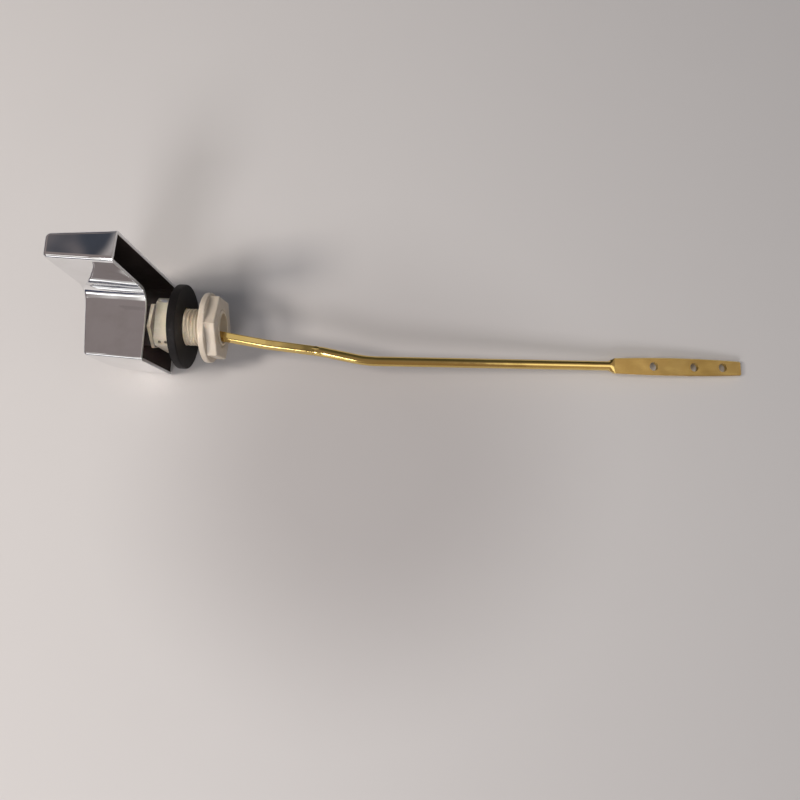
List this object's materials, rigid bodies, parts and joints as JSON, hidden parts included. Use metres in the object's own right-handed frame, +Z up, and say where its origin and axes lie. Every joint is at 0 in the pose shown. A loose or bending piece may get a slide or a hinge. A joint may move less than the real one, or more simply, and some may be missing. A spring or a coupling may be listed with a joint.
{
  "type": "cistern lever",
  "caption": "Side-mount cistern lever: hollow L-shaped chrome handle on a threaded plastic spud with gasket and lock nut, turning a bent brass rod with chain holes in its flat end.",
  "frame": {"origin": "centre of the gasket face that seals against the outside of the cistern wall", "axes": "+X along the spud into the cistern, +Z up, -Y towards the user, where the handle's arm points"},
  "size_m": [0.2883, 0.0687, 0.0404],
  "materials": {
    "chrome": "polished plating",
    "ivory_spud": "moulded, slightly glossy",
    "black_rubber": "smooth rubber",
    "ivory_nut": "moulded, slightly glossy",
    "brass": "drawn brass"
  },
  "bodies": {
    "spud_and_gasket": {"spud": "ivory_spud", "gasket": "black_rubber"},
    "lever": {"handle": "chrome", "lever_rod": "brass"},
    "lock_nut": {"lock_nut": "ivory_nut"}
  },
  "joints": [
    {"name": "lever_turn", "type": "hinge", "parent": "spud_and_gasket", "child": "lever", "pos_m": [0, 0, 0], "axis": [1, 0, 0], "range_deg": [0, 35]},
    {"name": "nut_travel", "type": "slide", "parent": "spud_and_gasket", "child": "lock_nut", "axis": [1, 0, 0], "range_m": [-0.0075, 0.004]}
  ]
}
